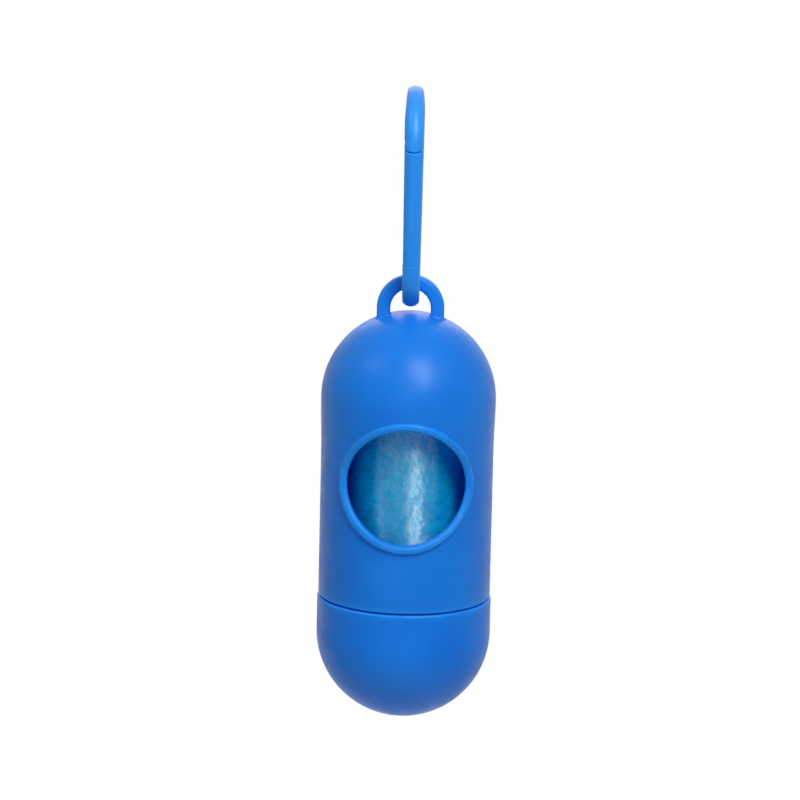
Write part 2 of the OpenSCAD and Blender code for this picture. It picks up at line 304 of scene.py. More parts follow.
# Moves points in and out from the Z axis by noise, stretched around or along it
def addDents(tree, given, geometry):
    spot = addNode(tree, "GeometryNodeInputPosition").outputs[0]
    split = addNode(tree, "ShaderNodeSeparateXYZ", {0: spot}).outputs
    scales = {"X": "Dent Around", "Y": "Dent Around", "Z": "Dent Along"}
    stretch = {axis: mathNode(tree, "MULTIPLY", split[axis], given[scale]) for axis, scale in scales.items()}
    cloud = addNode(
        tree, "ShaderNodeTexNoise",
        {"Scale": 1.0, "Detail": 2.0, "Vector": joinAxes(tree, stretch), "W": given["Seed"]},
        noise_dimensions="4D")
    centred = mathNode(tree, "SUBTRACT", cloud.outputs["Fac"], 0.5)
    amount = mathNode(tree, "MULTIPLY", centred, given["Dent Depth"])
    flat = joinAxes(tree, {"X": split["X"], "Y": split["Y"]})
    outward = addNode(tree, "ShaderNodeVectorMath", {0: flat}, operation="NORMALIZE")
    push = addNode(
        tree, "ShaderNodeVectorMath", {0: outward.outputs[0], "Scale": amount}, operation="SCALE")
    place = addNode(tree, "GeometryNodeSetPosition", {"Geometry": geometry, "Offset": push.outputs[0]})
    return place.outputs[0]


def finishTree(tree, given, result, geometry):
    real = addNode(tree, "GeometryNodeRealizeInstances", {0: geometry})
    paint = addNode(
        tree, "GeometryNodeSetMaterial", {"Geometry": real.outputs[0], "Material": given["Surface"]})
    tree.links.new(paint.outputs[0], result["Geometry"])
    tidyNodes(tree)
    return tree


# A right-handed helical ridge on a round wall; a negative stand-out makes it an inner one
def buildThreadRidge():
    tree, given, result = newGroup(
        "threadRidge", "GeometryNodeTree",
        {"Geometry": "Geometry", "Wall Radius": 17.4, "Stand Out": 0.75, "Sunk": 0.4, "Root Height": 1.6,
         "Crest Height": 0.8, "Edge Radius": 0.15, "Lead": 4.0, "Turns": 1.25, "Run Out": 9.0,
         "Least Size": 0.3, "Start Height": 0.0, "Surface": "Material"},
        {"Geometry": "Geometry"})
    side = mathNode(tree, "SIGN", given["Stand Out"])
    sunk = mathNode(tree, "MULTIPLY", given["Sunk"], side)
    middle = mathNode(tree, "MULTIPLY", mathNode(tree, "SUBTRACT", given["Stand Out"], sunk), 0.5)
    radius = mathNode(tree, "ADD", given["Wall Radius"], middle)
    helix = addNode(
        tree, "GeometryNodeCurveSpiral",
        {"Resolution": 72, "Reverse": True, "Rotations": given["Turns"], "Start Radius": radius,
         "End Radius": radius, "Height": mathNode(tree, "MULTIPLY", given["Turns"], given["Lead"])})
    level = addNode(tree, "GeometryNodeSetCurveNormal", {"Curve": helix.outputs[0]}, mode="Z_UP")
    depth = mathNode(tree, "ADD", mathNode(tree, "ABSOLUTE", given["Stand Out"]), given["Sunk"])
    section = addNode(
        tree, "GeometryNodeCurvePrimitiveQuadrilateral",
        {"Offset": 0.0, "Bottom Width": given["Root Height"], "Top Width": given["Crest Height"],
         "Height": depth}, mode="TRAPEZOID")
    fillet = addNode(
        tree, "GeometryNodeFilletCurve",
        {"Curve": section.outputs[0], "Radius": given["Edge Radius"], "Count": 3, "Limit Radius": True},
        mode="POLY")
    quarter = joinAxes(tree, {"Z": mathNode(tree, "MULTIPLY", side, -math.pi / 2)})
    turned = addNode(tree, "GeometryNodeTransform", {"Geometry": fillet.outputs[0], "Rotation": quarter})
    along = addNode(tree, "GeometryNodeSplineParameter").outputs["Length"]
    total = addNode(tree, "GeometryNodeSplineLength").outputs["Length"]
    nearest = mathNode(tree, "MINIMUM", along, mathNode(tree, "SUBTRACT", total, along))
    swell = mathNode(tree, "MINIMUM", mathNode(tree, "DIVIDE", nearest, given["Run Out"]), 1.0)
    scale = mathNode(tree, "MAXIMUM", mathNode(tree, "POWER", swell, 0.5), given["Least Size"])
    sweep = addNode(
        tree, "GeometryNodeCurveToMesh",
        {"Curve": level.outputs[0], "Profile Curve": turned.outputs[0], "Scale": scale, "Fill Caps": True})
    lift = joinAxes(tree, {"Z": given["Start Height"]})
    place = addNode(tree, "GeometryNodeTransform", {"Geometry": sweep.outputs[0], "Translation": lift})
    return finishTree(tree, given, result, place.outputs[0])


# A film wound round the Z axis, from one angle to its loose edge on top of its own wraps
def buildWoundFilm():
    tree, given, result = newGroup(
        "woundFilm", "GeometryNodeTree",
        {"Geometry": "Geometry", "Inner Radius": 13.3, "Outer Radius": 13.5, "Start Angle": 0.0, "Turn": 7.5,
         "Base Height": 0.0, "Width": 60.0, "Columns": 200, "Rows": 100, "Edge Wave": 0.3,
         "Edge Ripples": 9.0, "Dent Depth": 0.1, "Dent Around": 0.1, "Dent Along": 0.4, "Seed": 0.0,
         "Surface": "Material"},
        {"Geometry": "Geometry"})
    grid = addNode(
        tree, "GeometryNodeMeshGrid",
        {"Size X": 1.0, "Size Y": 1.0, "Vertices X": given["Columns"], "Vertices Y": given["Rows"]})
    spot = addNode(tree, "GeometryNodeInputPosition").outputs[0]
    split = addNode(tree, "ShaderNodeSeparateXYZ", {0: spot}).outputs
    across = mathNode(tree, "ADD", split["X"], 0.5)
    up = mathNode(tree, "ADD", split["Y"], 0.5)
    angle = mathNode(tree, "ADD", given["Start Angle"], mathNode(tree, "MULTIPLY", across, given["Turn"]))
    climb = mathNode(tree, "SUBTRACT", given["Outer Radius"], given["Inner Radius"])
    radius = mathNode(tree, "ADD", given["Inner Radius"], mathNode(tree, "MULTIPLY", climb, across))
    height = mathNode(tree, "ADD", given["Base Height"], mathNode(tree, "MULTIPLY", up, given["Width"]))
    beat = mathNode(tree, "MULTIPLY", up, given["Edge Ripples"])
    ripple = addNode(
        tree, "ShaderNodeTexNoise", {"Scale": 1.0, "Detail": 1.0, "W": beat}, noise_dimensions="1D")
    centred = mathNode(tree, "SUBTRACT", ripple.outputs["Fac"], 0.5)
    wave = mathNode(tree, "MULTIPLY", centred, given["Edge Wave"])
    edge = mathNode(tree, "MULTIPLY", wave, mathNode(tree, "POWER", across, 20.0))  # only the loose end
    bent = mathNode(tree, "ADD", angle, mathNode(tree, "DIVIDE", edge, given["Outer Radius"]))
    x = mathNode(tree, "MULTIPLY", radius, mathNode(tree, "COSINE", bent))
    y = mathNode(tree, "MULTIPLY", radius, mathNode(tree, "SINE", bent))
    place = joinAxes(tree, {"X": x, "Y": y, "Z": height})
    wrap = addNode(
        tree, "GeometryNodeSetPosition", {"Geometry": grid.outputs["Mesh"], "Position": place})
    return finishTree(tree, given, result, addDents(tree, given, wrap.outputs[0]))


def runTree(piece, tree, values):
    modifier = piece.modifiers.new(tree.name, "NODES")
    modifier.node_group = tree
    items = [item for item in tree.interface.items_tree if item.in_out == "INPUT"]
    sockets = {item.name: item.identifier for item in items}
    for name, value in values.items():
        modifier[sockets[name]] = value
    return bakeModifiers(piece)


turnedForm = buildTurnedForm()
threadRidge = buildThreadRidge()
woundFilm = buildWoundFilm()


def turn(name, profile, values):
    piece = drawMesh(name, [(x, 0, z) for x, z in profile], [])
    return closeUp(runTree(piece, turnedForm, values))


# Grain and slow ripples of a moulded face, in millimetres, with masks for colour and gloss
def buildMouldedSkin():
    tree, given, result = newGroup(
        "mouldedSkin", "ShaderNodeTree",
        {"Vector": "Vector", "Grain Size": 0.3, "Grain Depth": 0.004, "Ripple Size": 9.0,
         "Ripple Depth": 0.02},
        {"Height": "Float", "Mottle": "Float", "Gloss": "Float"})

    def cloud(size, detail, seed):
        scale = 1000.0 / size if isinstance(size, float) else mathNode(tree, "DIVIDE", 1000.0, size)
        node = addNode(
            tree, "ShaderNodeTexNoise",
            {"Vector": given["Vector"], "Scale": scale, "Detail": detail, "W": seed}, noise_dimensions="4D")
        return node.outputs["Fac"]

    grain = mathNode(tree, "MULTIPLY", cloud(given["Grain Size"], 3.0, 1.0), given["Grain Depth"])
    ripple = mathNode(tree, "MULTIPLY", cloud(given["Ripple Size"], 1.0, 2.0), given["Ripple Depth"])
    tree.links.new(mathNode(tree, "ADD", grain, ripple), result["Height"])
    masks = {"Mottle": (14.0, 4.0, 3.0, (0.33, 0.67)), "Gloss": (5.0, 5.0, 4.0, (0.3, 0.7))}
    for label, (size, detail, seed, limits) in masks.items():
        tree.links.new(mapRange(tree, cloud(size, detail, seed), limits, smooth=True), result[label])
    tidyNodes(tree)
    return tree


# Broken-up masks for a painted highlight on the ridges and painted shade in the hollows
def buildEdgeHighlightAndShade():
    tree, given, result = newGroup(
        "edgeHighlightAndShade", "ShaderNodeTree",
        {"Vector": "Vector", "Break Size": 1.5, "Evenness": 0.6}, {"Ridge": "Float", "Shaded": "Float"})
    scale = mathNode(tree, "DIVIDE", 1000.0, given["Break Size"])
    cloud = addNode(tree, "ShaderNodeTexNoise", {"Vector": given["Vector"], "Scale": scale, "Detail": 4.0})
    patches = mapRange(tree, cloud.outputs["Fac"], (0.35, 0.6), (given["Evenness"], 1.0))
    for label in ("Ridge", "Shaded"):
        mark = addNode(tree, "ShaderNodeAttribute", attribute_name=label.lower())
        tree.links.new(mathNode(tree, "MULTIPLY", mark.outputs["Fac"], patches), result[label])
    tidyNodes(tree)
    return tree


# Layers of noise: slant, cells to the metre round and along the roll, seed, detail
filmLayers = {
    "fine": ((1.0, 300, 2500, 1.0, 3.0), (-1.6, 380, 1900, 2.0, 3.0)), "fold": (2.5, 70, 260, 3.0, 2.0),
    "feather": ((4.2, 1500, 420, 4.0, 2.0), (-1.8, 1100, 260, 5.0, 2.0)),
}


# Fine wrinkles that run round a wound film, with long folds and feathers that cross them at a slant
def buildFilmWrinkles():
    tree, given, result = newGroup(
        "filmWrinkles", "ShaderNodeTree",
        {"Vector": "Vector", "Slant": 0.2, "Fine Depth": 0.02, "Fold Depth": 0.05},
        {"Height": "Float", "Streak": "Float", "Feather": "Float"})

    def layer(slant, around, along, seed, detail):
        lean = joinAxes(tree, {"Y": mathNode(tree, "MULTIPLY", given["Slant"], slant)})
        turned = addNode(
            tree, "ShaderNodeVectorRotate", {"Vector": given["Vector"], "Rotation": lean},
            rotation_type="EULER_XYZ")
        stretch = addNode(
            tree, "ShaderNodeMapping", {"Vector": turned.outputs[0], "Scale": (around, around, along)})
        node = addNode(
            tree, "ShaderNodeTexNoise",
            {"Vector": stretch.outputs[0], "Scale": 1.0, "Detail": detail, "W": seed}, noise_dimensions="4D")
        return node.outputs["Fac"]

    def pair(kind):
        return mathNode(tree, "ADD", *[layer(*values) for values in filmLayers[kind]])

    fine, feathers = pair("fine"), pair("feather")
    crease = mathNode(tree, "ABSOLUTE", mathNode(tree, "SUBTRACT", layer(*filmLayers["fold"]), 0.5))
    sharp = mapRange(tree, crease, (0.0, 0.05), (1.0, 0.0), smooth=True)
    wrinkles = mathNode(tree, "MULTIPLY", fine, given["Fine Depth"])
    folds = mathNode(tree, "MULTIPLY", sharp, given["Fold Depth"])
    tree.links.new(mathNode(tree, "ADD", wrinkles, folds), result["Height"])
    tree.links.new(mapRange(tree, fine, (0.8, 1.2)), result["Streak"])
    tree.links.new(mapRange(tree, feathers, (0.85, 1.2)), result["Feather"])
    tidyNodes(tree)
    return tree


mouldedSkin = buildMouldedSkin()
edgeHighlightAndShade = buildEdgeHighlightAndShade()
filmWrinkles = buildFilmWrinkles()


def newFinish(name):
    material = bpy.data.materials.new(name)
    material.use_nodes = True
    tree = material.node_tree
    tree.nodes.clear()
    shader = addNode(tree, "ShaderNodeBsdfPrincipled")
    addNode(tree, "ShaderNodeOutputMaterial", {"Surface": shader.outputs[0]})
    coords = addNode(tree, "ShaderNodeTexCoord").outputs["Object"]
    return material, tree, shader, coords


def mixColours(tree, factor, first, second):
    ends = [value if isinstance(value, bpy.types.NodeSocket) else (*value, 1) for value in (first, second)]
    node = addNode(tree, "ShaderNodeMix", data_type="RGBA")
    return feed(tree, node, {0: factor, 6: ends[0], 7: ends[1]}).outputs[2]


def addBump(tree, height, depth):
    bump = addNode(tree, "ShaderNodeBump", {"Strength": 1.0, "Distance": depth * mm, "Height": height})
    return bump.outputs[0]


# A thin wall lets some of the lamps' light through and gives it this colour
def letThrough(tree, shader, colour):
    output = shader.outputs[0].links[0].to_node
    path = addNode(tree, "ShaderNodeLightPath").outputs
    clear = addNode(tree, "ShaderNodeBsdfTransparent", {"Color": (*colour, 1)})
    blend = addNode(
        tree, "ShaderNodeMixShader", {0: path["Is Shadow Ray"], 1: shader.outputs[0], 2: clear.outputs[0]})
    tree.links.new(blend.outputs[0], output.inputs["Surface"])


def plasticFinish(name, look):
    material, tree, shader, coords = newFinish(name)
    drawn = addNode(tree, "ShaderNodeMapping", {"Vector": coords, "Scale": (1, 1, look["drawn"])})
    sizes = {key: look[key] for key in ("Grain Size", "Grain Depth", "Ripple Size", "Ripple Depth")}
    skin = addNode(tree, "ShaderNodeGroup", {"Vector": drawn.outputs[0], **sizes}, node_tree=mouldedSkin)
    edgeLightInputs = {"Vector": coords, "Evenness": look["edgeEvenness"]}
    edges = addNode(tree, "ShaderNodeGroup", edgeLightInputs, node_tree=edgeHighlightAndShade)
    colour = mixColours(tree, skin.outputs["Mottle"], look["colour"], look["paler"])
    # Painted highlight on ridges and painted shade in hollows, mixed into the base colour
    for kind in ("ridge", "shaded"):
        paintedLight = mathNode(tree, "MULTIPLY", edges.outputs[kind.title()], look[kind + "Amount"])
        colour = mixColours(tree, paintedLight, colour, look[kind + "Colour"])
    feed(tree, shader, {
        "Base Color": colour, "Roughness": mapRange(tree, skin.outputs["Gloss"], target=look["roughness"]),
        "Normal": addBump(tree, skin.outputs["Height"], 1.0), "IOR": look["ior"],
        "Specular IOR Level": look["specular"],
    })
    letThrough(tree, shader, look["through"])
    tidyNodes(tree)
    return material


caseLook = {
    "colour": (0.007, 0.168, 0.68), "paler": (0.01, 0.195, 0.725),
    # The ridge colour is a painted highlight on outer edges and the bead, the hollow colour is painted shade
    # in creases
    "ridgeColour": (0.012, 0.31, 0.90), "ridgeAmount": 0.55,
    "shadedColour": (0.001, 0.06, 0.40), "shadedAmount": 0.5, "edgeEvenness": 0.7, "drawn": 1.0,
    "Grain Size": 0.35, "Grain Depth": 0.0035, "Ripple Size": 9.0, "Ripple Depth": 0.03,
    "roughness": (0.34, 0.44), "ior": 1.5, "specular": 0.18, "through": (0.01, 0.15, 0.5),
}
capLook = dict(caseLook, **{
    "colour": (0.006, 0.162, 0.70), "paler": (0.008, 0.188, 0.745), "Ripple Depth": 0.04,
})
hookLook = dict(caseLook, **{
    "colour": (0.009, 0.225, 0.78), "paler": (0.018, 0.265, 0.83), "specular": 0.4, "drawn": 0.16,
    "Grain Size": 0.4, "Grain Depth": 0.004, "Ripple Size": 4.0,
})
casePlastic = plasticFinish("casePlastic", caseLook)
capPlastic = plasticFinish("capPlastic", capLook)
hookPlastic = plasticFinish("hookPlastic", hookLook)

filmLook = {
    "colour": (0.0, 0.245, 0.56), "paler": (0.002, 0.37, 0.67), "roughness": (0.43, 0.5), "stretch": 1.0,
    "ior": 1.75, "specular": (0.7, 2.0), "sheenTint": (0.8, 1.0, 0.96), "Slant": 0.14, "Fine Depth": 0.018,
    "Fold Depth": 0.02, "layerSpacing": 0.3, "layerDepth": 0.08,  # the spacing is for one radian of the wave
}


# The same film twice: its smooth outer wrap, and the pack whose ends show the edges of the layers
def filmFinish(name, look, layered):
    material, tree, shader, coords = newFinish(name)
    sizes = {key: look[key] for key in ("Slant", "Fine Depth", "Fold Depth")}
    folds = addNode(tree, "ShaderNodeGroup", {"Vector": coords, **sizes}, node_tree=filmWrinkles).outputs
    colour = mixColours(tree, folds["Streak"], look["colour"], look["paler"])
    height = folds["Height"]
    if layered:
        rings = addNode(
            tree, "ShaderNodeTexWave",
            {"Vector": coords, "Scale": 1000 / look["layerSpacing"] / 20, "Distortion": 3.0, "Detail": 3.0,
             "Detail Scale": 0.2}, wave_type="RINGS", rings_direction="Z").outputs["Fac"]
        colour = mixColours(tree, rings, colour, look["paler"])
        height = mathNode(tree, "ADD", height, mathNode(tree, "MULTIPLY", rings, look["layerDepth"]))
    around = addNode(tree, "ShaderNodeTangent", direction_type="RADIAL", axis="Z")
    feed(tree, shader, {
        "Base Color": colour, "Roughness": mapRange(tree, folds["Streak"], target=look["roughness"]),
        "Normal": addBump(tree, height, 1.0), "IOR": look["ior"], "Specular Tint": (*look["sheenTint"], 1),
        "Specular IOR Level": mapRange(tree, folds["Feather"], target=look["specular"]),
        "Anisotropic": look["stretch"], "Anisotropic Rotation": 0.25, "Tangent": around.outputs[0],
    })
    tidyNodes(tree)
    return material


wrapFilm = filmFinish("wrapFilm", filmLook, False)
packFilm = filmFinish("packFilm", filmLook, True)

cardLook = {
    "colour": (0.36, 0.25, 0.15), "paler": (0.52, 0.39, 0.25), "roughness": (0.8, 0.95), "metallic": 0.0,
    "stretch": (500, 500, 1800), "slant": (0.3, 0, 0), "detail": 6.0, "coarse": 0.7, "depth": 0.04,
}
steelLook = {
    "colour": (0.50, 0.51, 0.53), "paler": (0.66, 0.67, 0.68), "roughness": (0.22, 0.38), "metallic": 1.0,
    "stretch": (9000, 900, 900), "slant": (0, 0, 0), "detail": 4.0, "coarse": 0.5, "depth": 0.003,
}


# Fibres of card or grinding marks of steel, in one stretched noise
def grainFinish(name, look):
    material, tree, shader, coords = newFinish(name)
    drawn = addNode(
        tree, "ShaderNodeMapping", {"Vector": coords, "Scale": look["stretch"], "Rotation": look["slant"]})
    cloud = addNode(
        tree, "ShaderNodeTexNoise",
        {"Vector": drawn.outputs[0], "Scale": 1.0, "Detail": look["detail"], "Roughness": look["coarse"]})
    grain = cloud.outputs["Fac"]
    feed(tree, shader, {
        "Base Color": mixColours(tree, grain, look["colour"], look["paler"]),
        "Roughness": mapRange(tree, grain, target=look["roughness"]),
        "Normal": addBump(tree, grain, look["depth"]), "Metallic": look["metallic"],
    })
    tidyNodes(tree)
    return material


coreCard = grainFinish("coreCard", cardLook)
springSteel = grainFinish("springSteel", steelLook)
print("finishes made")

# Case: the upper shell with its window, loop and screw neck, in one moulding
shellLow, shellHigh = cadCorners("body_shell")
case = {
    "domeRadius": 20.0, "straight": 46.1, "wall": 1.6, "waistInset": 0.25, "waistBlend": 12.0,
    "edgeRadius": 0.35, "neckHeight": 8.0, "neckStep": 2.15, "neckWall": 1.5, "neckEdge": 0.3,
    "windowDrop": 16.9, "windowRadius": 13.4, "beadWidth": 1.85, "beadProud": 0.9, "beadEdge": 0.62,
    "beadCrown": 0.12, "beadHighlight": 0.75, "beadSteps": 192, "beadOverlap": 0.04, "beadRoot": 0.45,
    "holeMargin": 0.7, "columns": 192, "domeRows": 40, "patchColumns": 32, "patchHalf": 16.9,
    "patchRows": 32, "patchRings": 12,
}
case["neckEnd"] = shellLow[2]
case["seamZ"] = case["neckEnd"] + case["neckHeight"]
case["domeZ"] = case["seamZ"] + case["straight"]
case["waistRadius"] = case["domeRadius"] - case["waistInset"]
case["neckRadius"] = case["waistRadius"] - case["neckStep"]
case["neckInner"] = case["neckRadius"] - case["neckWall"]
case["windowZ"] = case["domeZ"] - case["windowDrop"]
case["beadLimit"] = -shellLow[1] - 0.02

loop = {"innerRadius": 4.6, "band": 3.1, "thick": 3.0, "edge": 0.85, "legs": 3.45, "flare": 0.4, "steps": 64}
loop["centreZ"] = shellHigh[2] - loop["innerRadius"] - loop["band"]
loop["footZ"] = loop["centreZ"] - loop["legs"]

neckThread = {
    "Wall Radius": case["neckRadius"], "Stand Out": 0.75, "Root Height": 1.6, "Crest Height": 0.8,
    "Lead": 4.0, "Turns": 1.25, "Start Height": case["neckEnd"] + 1.2,
}


def caseRadius(z):
    drop = case["domeZ"] - z
    if drop <= 0:
        return math.sqrt(max(case["domeRadius"] ** 2 - drop**2, 0))
    part = min(drop / case["waistBlend"], 1)
    return case["domeRadius"] - (case["domeRadius"] - case["waistRadius"]) * part * part * (3 - 2 * part)


def cavityRadius(z):
    return caseRadius(z) - case["wall"]


# The dome's outline, from the top down to its widest height
def domeOutline(radius):
    angles = np.radians(np.linspace(0, 90, case["domeRows"] + 1))
    return [(radius * math.sin(a), case["domeZ"] + radius * math.cos(a)) for a in angles]


# A revolved wall in rows and columns, with a patch of rings round the window on both its faces
def drawCaseWall():
    columns, half = case["columns"], case["patchColumns"]
    top, bottom = case["windowZ"] + case["patchHalf"], case["windowZ"] - case["patchHalf"]
    stops = [top + (bottom - top) * i / case["patchRows"] for i in range(case["patchRows"] + 1)]
    seam, edge = case["seamZ"], case["edgeRadius"]
    outer = domeOutline(case["domeRadius"])[:-1]
    outer += [(caseRadius(z), z) for z in stops]
    outer += [(caseRadius(z), z) for z in np.linspace(bottom, seam + edge, 12)[1:]]
    waist = case["waistRadius"]
    outer += circlePoints((waist - edge, seam + edge), edge, 0, -90, 5)[1:]
    neck, inner, end, nick = case["neckRadius"], case["neckInner"], case["neckEnd"], case["neckEdge"]
    outer += [(r, seam) for r in np.linspace(waist - edge, neck + nick, 4)[1:]]
    outer += circlePoints((neck + nick, seam - nick), nick, 90, 180, 3)[1:]
    outer += [(neck, z) for z in np.linspace(seam - nick, end + nick, 12)[1:]]
    outer += circlePoints((neck - nick, end + nick), nick, 0, -90, 4)[1:]
    outer += circlePoints((inner + nick, end + nick), nick, -90, -180, 4)
    outer += [(inner, z) for z in np.linspace(end + nick, seam, 12)[1:]]
    step = waist - case["wall"] - inner
    outer += [(inner + step * t, seam + step * t) for t in (0.25, 0.5, 0.75, 1)]
    outer += [(cavityRadius(z), z) for z in np.linspace(seam + step, bottom, 10)[1:]]
    outer += [(cavityRadius(z), z) for z in reversed(stops[:-1])]
    outer += domeOutline(case["domeRadius"] - case["wall"])[-2::-1]

    outRow = case["domeRows"]
    inRow = len(outer) - outRow - len(stops)
    points, place = [], {}
    front = -math.pi / 2

    def skipped(row, column):
        side = min(column, columns - column)
        for first in (outRow, inRow):
            if first < row < first + len(stops) - 1 and side < half:
                return True
        return False

    for row, (radius, z) in enumerate(outer):
        if radius < 1e-6:
            place[row, 0] = len(points)
            points.append((0, 0, z))
            continue
        for column in range(columns):
            if skipped(row, column):
                continue
            angle = front + 2 * math.pi * column / columns
            place[row, column] = len(points)
            points.append((radius * math.cos(angle), radius * math.sin(angle), z))

    def at(row, column):
        return place[row, 0] if outer[row][0] < 1e-6 else place[row, column % columns]

    faces = []
    for row in range(len(outer) - 1):
        for column in range(columns):
            side = column if column < columns / 2 else column - columns
            inPatch = -half <= side < half
            if inPatch and any(first <= row < first + len(stops) - 1 for first in (outRow, inRow)):
                continue
            face = [at(row, column), at(row, column + 1), at(row + 1, column + 1), at(row + 1, column)]
            faces.append([v for i, v in enumerate(face) if v not in face[:i]])

    # The patch's border, once round from its top left corner
    depth = len(stops) - 1
    border = [(0, c) for c in range(-half, half)] + [(r, half) for r in range(depth)]
    border += [(depth, c) for c in range(half, -half, -1)] + [(r, -half) for r in range(depth, 0, -1)]
    hole = case["windowRadius"] + case["holeMargin"]
    zWindow = case["windowZ"]
    loops = []
    for first, flip, radiusAt in ((outRow, False, caseRadius), (inRow, True, cavityRadius)):
        rings = []
        for row, column in border:
            z = stops[row]
            turnOut = 2 * math.pi * column / columns
            heading = math.atan2(z - zWindow, turnOut * case["waistRadius"])
            x, zHole = hole * math.cos(heading), zWindow + hole * math.sin(heading)
            turnHole = math.asin(x / radiusAt(zHole))
            strip = []
            for k in range(1, case["patchRings"] + 1):
                t = 1 - (1 - k / case["patchRings"]) ** 1.25
                zHere = z + (zHole - z) * t
                turnHere = turnOut + (turnHole - turnOut) * t
                r = radiusAt(zHere)
                strip.append(len(points))
                points.append((r * math.sin(turnHere), -r * math.cos(turnHere), zHere))
            rowHere = first + (depth - row if flip else row)
            rings.append([at(rowHere, column)] + strip)
        for i in range(len(rings)):
            a, b = rings[i], rings[(i + 1) % len(rings)]
            for k in range(case["patchRings"]):
                faces.append([a[k], b[k], b[k + 1], a[k + 1]])
        loops.append([strip[-1] for strip in rings])
    for i in range(len(border)):
        j = (i + 1) % len(border)
        faces.append([loops[0][i], loops[0][j], loops[1][j], loops[1][i]])
    return closeUp(drawMesh("caseWall", points, faces), 0.0005)


# The window's raised bead: its face looks forward all the way round, and its inner side lines the hole
def drawWindowBead():
    steps, lap = case["beadSteps"], case["beadOverlap"]
    near, far = case["windowRadius"], case["windowRadius"] + case["beadWidth"]
    middle, edge = (near + far) / 2, case["beadEdge"]
    points, rings = [], []

    def depthAt(radiusAt, out, angle):
        x, z = out * math.cos(angle), case["windowZ"] + out * math.sin(angle)
        return math.sqrt(radiusAt(z) ** 2 - x**2)

    def crowned(out, deep):
        return out, deep - case["beadCrown"] * ((out - middle) / (far - middle)) ** 2

    for i in range(steps):
        angle = 2 * math.pi * i / steps
        face = min(depthAt(caseRadius, middle, angle) + case["beadProud"], case["beadLimit"])
        wallFar = depthAt(caseRadius, far, angle)
        lining = depthAt(cavityRadius, near, angle) + lap
        section = [(near + s, depthAt(cavityRadius, near + s, angle) + lap) for s in (0.9, 0.6, 0.3, 0.12)]
        section += [(near, lining + 0.12 + (face - edge - lining - 0.12) * t) for t in (0, 0.25, 0.5, 0.75)]
        section += [crowned(*spot) for spot in circlePoints((near + edge, face - edge), edge, 180, 90, 7)]
        section += [crowned(out, face) for out in np.linspace(near + edge, far - edge, 5)[1:-1]]
        section += [crowned(*spot) for spot in circlePoints((far - edge, face - edge), edge, 90, 0, 7)]
        rise = face - edge - case["beadCrown"] - wallFar
        section += [(far, wallFar + rise * t) for t in (0.6, 0.2)] + [(far, wallFar - case["beadRoot"])]
        rings.append(range(len(points), len(points) + len(section)))
        for out, deep in section:
            points.append((out * math.cos(angle), -deep, case["windowZ"] + out * math.sin(angle)))
    return closeUp(drawMesh("windowBead", points, skinRings(rings, True, closed=True)), 0.0001)


# The arch, with legs that spread a little where they meet the dome
def drawLoop():
    middle = loop["innerRadius"] + loop["band"] / 2
    edge, halfBand, halfThick = loop["edge"], loop["band"] / 2, loop["thick"] / 2
    section = []
    for sx, sy, fromDeg in ((1, 1, 0), (-1, 1, 90), (-1, -1, 180), (1, -1, 270)):
        centre = (sx * (halfBand - edge), sy * (halfThick - edge))
        section += circlePoints(centre, edge, fromDeg, fromDeg + 90, 6)
    stations = []
    for z in np.linspace(loop["footZ"], loop["centreZ"], 15)[:-1]:
        stations.append(((middle, z), (1, 0)))
    for i in range(loop["steps"] + 1):
        a = math.pi * i / loop["steps"]
        way = (math.cos(a), math.sin(a))
        stations.append(((middle * way[0], loop["centreZ"] + middle * way[1]), way))
    for z in np.linspace(loop["centreZ"], loop["footZ"], 15)[1:]:
        stations.append(((-middle, z), (-1, 0)))
    points, rings = [], []
    for (x, z), (outX, outZ) in stations:
        ring = []
        for across, thick in section:
            px, py, pz = x + across * outX, thick, z + across * outZ
            if pz < loop["centreZ"] + 0.5:
                gap = pz - case["domeZ"] - math.sqrt(max(case["domeRadius"] ** 2 - px**2 - py**2, 0))
                reach = loop["flare"]
                if gap < reach:
                    level = max(gap, 0) / reach
                    spread = reach * (1 - math.sqrt(1 - (1 - level) ** 2))
                    length = math.hypot(across, thick)
                    px += spread * across / length * outX
                    py += spread * thick / length
            ring.append(len(points))
            points.append((px, py, pz))
        rings.append(ring)
    return closeUp(drawMesh("hangingLoop", points, skinRings(rings, True)), 0.0001)


# The bead gets at least this much of the ridge colour all over, a painted highlight for the light its raised
# face catches
def paintBeadHighlight(piece, amount):
    near, far = case["windowRadius"] - 0.1, case["windowRadius"] + case["beadWidth"] + 0.02
    values = piece.data.attributes["ridge"].data
    for vertex in piece.data.vertices:
        x, y, z = vertex.co
        out = math.hypot(x, z - case["windowZ"])
        if y < 0 and near < out < far:
            values[vertex.index].value = max(values[vertex.index].value, amount)


ridge = closeUp(runTree(drawMesh("neckThread", [], []), threadRidge, neckThread))
caseShell = joinPieces("caseShell", [drawCaseWall(), drawWindowBead(), drawLoop(), ridge])
markEdges(caseShell)
# Painted highlight on the window bead
paintBeadHighlight(caseShell, case["beadHighlight"])
settle(caseShell, "case", casePlastic, ["body_shell"])

# Cap: the lower half, with its own thread inside
capLow, capHigh = cadCorners("end_cap")
cap = {"wall": 1.4, "rimRadius": 0.5, "innerEdge": 0.25, "threadLead": 1.247, "steps": 192}
cap["radius"] = capHigh[0]
cap["inner"] = cap["radius"] - cap["wall"]
cap["bowlZ"] = capLow[2] + cap["radius"]
cap["rimZ"] = capHigh[2]
capThread = dict(neckThread, **{
    "Wall Radius": cap["inner"], "Stand Out": -neckThread["Stand Out"], "Turns": 1.0,
    "Start Height": neckThread["Start Height"] + cap["threadLead"],
})


